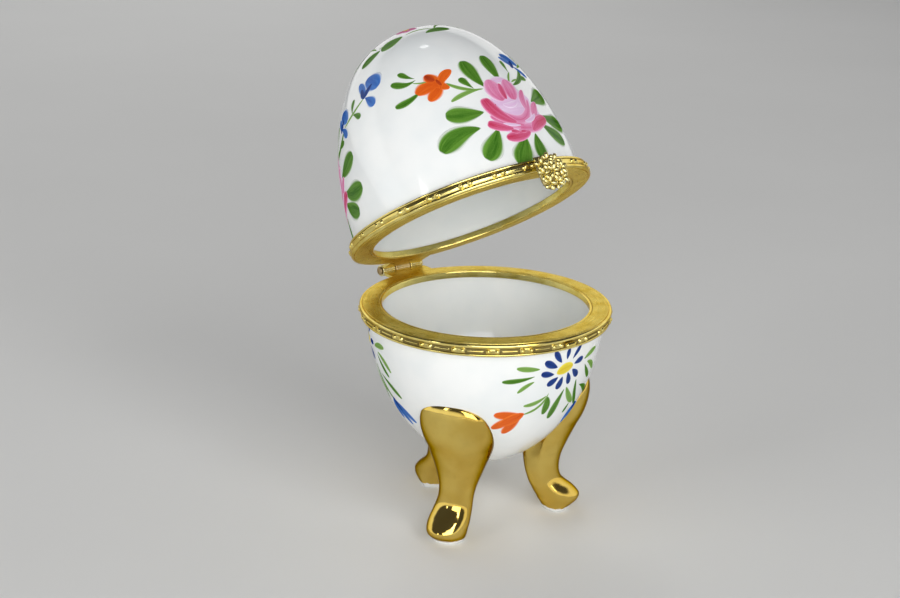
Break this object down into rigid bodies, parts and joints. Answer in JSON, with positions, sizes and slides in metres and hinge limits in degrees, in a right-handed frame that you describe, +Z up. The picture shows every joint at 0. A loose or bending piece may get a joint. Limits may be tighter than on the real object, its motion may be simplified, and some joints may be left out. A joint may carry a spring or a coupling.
{
  "type": "porcelain trinket box",
  "caption": "Egg-shaped hinged porcelain trinket box on short gilded cabriole legs, with brass-mounted rims, a knuckle hinge and a snap clasp, for holding small jewellery.",
  "frame": {"origin": "on the floor, under the middle of the width and depth of the box as it rests with its lid open", "axes": "+Z up, -Y towards the clasp at the front, +Y towards the hinge, X along the hinge pin"},
  "size_m": [0.0558, 0.068, 0.1075],
  "materials": {
    "porcelain": "glossy white glaze, inside and out",
    "gilding": "mirror-bright gold lustre over glazed porcelain",
    "brushed_brass": "flat faces finely scratched and softly hammered",
    "polished_brass": "polished gilt brass",
    "cast_brass": "rough cast, worn bright on the high spots",
    "pin_brass": "dull drawn wire"
  },
  "bodies": {
    "base": {"bowl": "porcelain", "leg_rear": "gilding", "leg_front_left": "gilding", "leg_front_right": "gilding", "base_face_ring": "brushed_brass", "base_inner_lip": "polished_brass", "base_bezel_band": "polished_brass", "base_bead_wire": "polished_brass", "base_knuckle": "polished_brass", "hinge_pin": "pin_brass", "catch_stud": "polished_brass"},
    "lid": {"lid_shell": "porcelain", "lid_face_ring": "brushed_brass", "lid_inner_lip": "polished_brass", "lid_bezel_band": "polished_brass", "lid_bead_wire": "polished_brass", "lid_knuckle_left": "polished_brass", "lid_knuckle_right": "polished_brass", "clasp_tongue": "polished_brass", "clasp_flower": "cast_brass"}
  },
  "joints": [
    {"name": "lid_hinge", "type": "hinge", "parent": "base", "child": "lid", "pos_m": [0, 0.02563, 0.04975], "axis": [-1, 0, 0], "range_deg": [-34.3, 40.7]}
  ]
}
